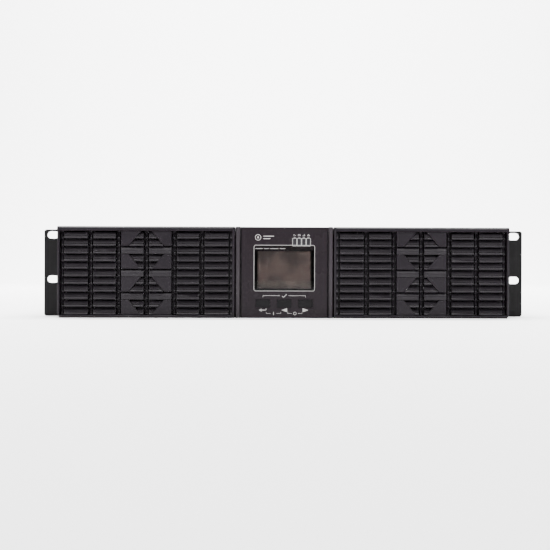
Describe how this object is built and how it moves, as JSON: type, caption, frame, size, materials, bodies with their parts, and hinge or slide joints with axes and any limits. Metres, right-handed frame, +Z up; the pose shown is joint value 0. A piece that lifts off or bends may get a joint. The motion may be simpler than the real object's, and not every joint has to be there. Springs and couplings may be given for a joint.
{
  "type": "rack-mount uninterruptible power supply",
  "caption": "Black two-unit rack power backup with louvred pull-off grilles, a glossy display panel with buttons, slotted ears, a sliding battery tray and rear outlets.",
  "frame": {"origin": "middle of the footprint, on the surface the unit rests on", "axes": "+X to the right seen from the front, -Y out of the front, +Z up"},
  "size_m": [0.4826, 0.444, 0.0884],
  "materials": {
    "chassis_paint": "fine-textured black powder coat",
    "ear_paint": "black powder coat",
    "front_sheet": "black powder coat, seen through the grilles",
    "zinc_steel": "zinc-plated sheet",
    "screw_steel": "blackened zinc screws",
    "grille_plastic": "fine-grained moulded plastic, charcoal",
    "housing_plastic": "satin moulded plastic",
    "fascia_gloss": "polished black acrylic look",
    "button_plastic": "satin black",
    "lens_clear": "clear acrylic, faint smoke tint",
    "lcd_glass": "unlit reflective display, grey-brown",
    "light_guide": "unlit smoky light guides",
    "circuit_green": "green solder mask",
    "circuit_blue": "blue solder mask",
    "black_plastic": "black moulded plastic",
    "flat_cable": "grey ribbon insulation",
    "brass_posts": "bare brass",
    "bare_aluminium": "extruded, mill finish",
    "capacitor_sleeve": "dark shrink sleeve",
    "copper_wire": "enamelled copper",
    "winding_tape": "yellow insulating tape",
    "core_steel": "ferrite core",
    "relay_plastic": "blue relay covers",
    "nickel": "nickel-plated shells and wire",
    "card_cover_steel": "grey painted sheet",
    "red_plastic": "red moulded plastic",
    "battery_case": "moulded battery cases",
    "black_wire": "black wire insulation",
    "red_wire": "red wire insulation"
  },
  "bodies": {
    "root": {"chassis_base": "chassis_paint", "top_cover": "chassis_paint", "front_panel": "front_sheet", "rear_panel": "chassis_paint", "bay_divider": "zinc_steel", "rack_ear_left": "ear_paint", "rack_ear_right": "ear_paint", "ear_screws": "screw_steel", "case_screws": "screw_steel", "display_housing": "housing_plastic", "display_fascia": "fascia_gloss", "display_screws": "screw_steel", "display_lens": "lens_clear", "lcd_module": "lcd_glass", "display_board": "circuit_green", "tact_switches": "black_plastic", "status_lights": "light_guide", "grille_sockets": "black_plastic", "ribbon_cable": "flat_cable", "power_board": "circuit_green", "board_standoffs": "brass_posts", "heatsinks": "bare_aluminium", "power_transistors": "black_plastic", "bus_capacitors": "capacitor_sleeve", "filter_chokes": "copper_wire", "transformer_core": "core_steel", "transformer_winding": "winding_tape", "relays": "relay_plastic", "control_board": "circuit_blue", "comms_board": "circuit_green", "usb_port": "nickel", "serial_port": "nickel", "network_ports": "nickel", "card_slot_cover": "card_cover_steel", "card_slot_screws": "screw_steel", "outlets": "black_plastic", "mains_inlet": "black_plastic", "circuit_breaker": "black_plastic", "ground_stud": "brass_posts", "fan_frame_left": "black_plastic", "fan_frame_right": "black_plastic", "fan_guards": "nickel", "fan_screws": "screw_steel", "battery_socket": "red_plastic", "battery_leads": "red_wire"},
    "enter_button": {"enter_button": "button_plastic"},
    "left_button": {"left_button": "button_plastic"},
    "right_button": {"right_button": "button_plastic"},
    "left_grille": {"left_grille": "grille_plastic"},
    "right_grille": {"right_grille": "grille_plastic"},
    "fan_rotor_left": {"fan_rotor_left": "black_plastic"},
    "fan_rotor_right": {"fan_rotor_right": "black_plastic"},
    "breaker_button": {"breaker_button": "red_plastic"},
    "battery_pack": {"battery_tray": "zinc_steel", "battery_door": "zinc_steel", "batteries": "battery_case", "battery_links": "black_wire", "battery_plug": "red_plastic", "tray_screws": "black_plastic"}
  },
  "joints": [
    {"name": "enter_button_press", "type": "slide", "parent": "root", "child": "enter_button", "axis": [0, 1, 0], "range_m": [0, 0.0008], "stiffness_N_per_m": 1500},
    {"name": "left_button_press", "type": "slide", "parent": "root", "child": "left_button", "axis": [0, 1, 0], "range_m": [0, 0.0008], "stiffness_N_per_m": 1500},
    {"name": "right_button_press", "type": "slide", "parent": "root", "child": "right_button", "axis": [0, 1, 0], "range_m": [0, 0.0008], "stiffness_N_per_m": 1500},
    {"name": "battery_slide", "type": "slide", "parent": "root", "child": "battery_pack", "axis": [0, -1, 0], "range_m": [0, 0.31]},
    {"name": "left_grille_pull", "type": "slide", "parent": "root", "child": "left_grille", "axis": [0, -1, 0], "range_m": [0, 0.365]},
    {"name": "right_grille_pull", "type": "slide", "parent": "root", "child": "right_grille", "axis": [0, -1, 0], "range_m": [0, 0.06]},
    {"name": "fan_left_spin", "type": "hinge", "parent": "root", "child": "fan_rotor_left", "pos_m": [0.0855, 0.202, 0.0432], "axis": [0, 1, 0], "continuous": true},
    {"name": "fan_right_spin", "type": "hinge", "parent": "root", "child": "fan_rotor_right", "pos_m": [0.168, 0.202, 0.0432], "axis": [0, 1, 0], "continuous": true},
    {"name": "breaker_reset", "type": "slide", "parent": "root", "child": "breaker_button", "axis": [0, 1, 0], "range_m": [0, 0.003]}
  ],
  "couplings": [
    {"joint": "left_grille_pull", "follows": "battery_slide", "ratio": 1.175}
  ]
}
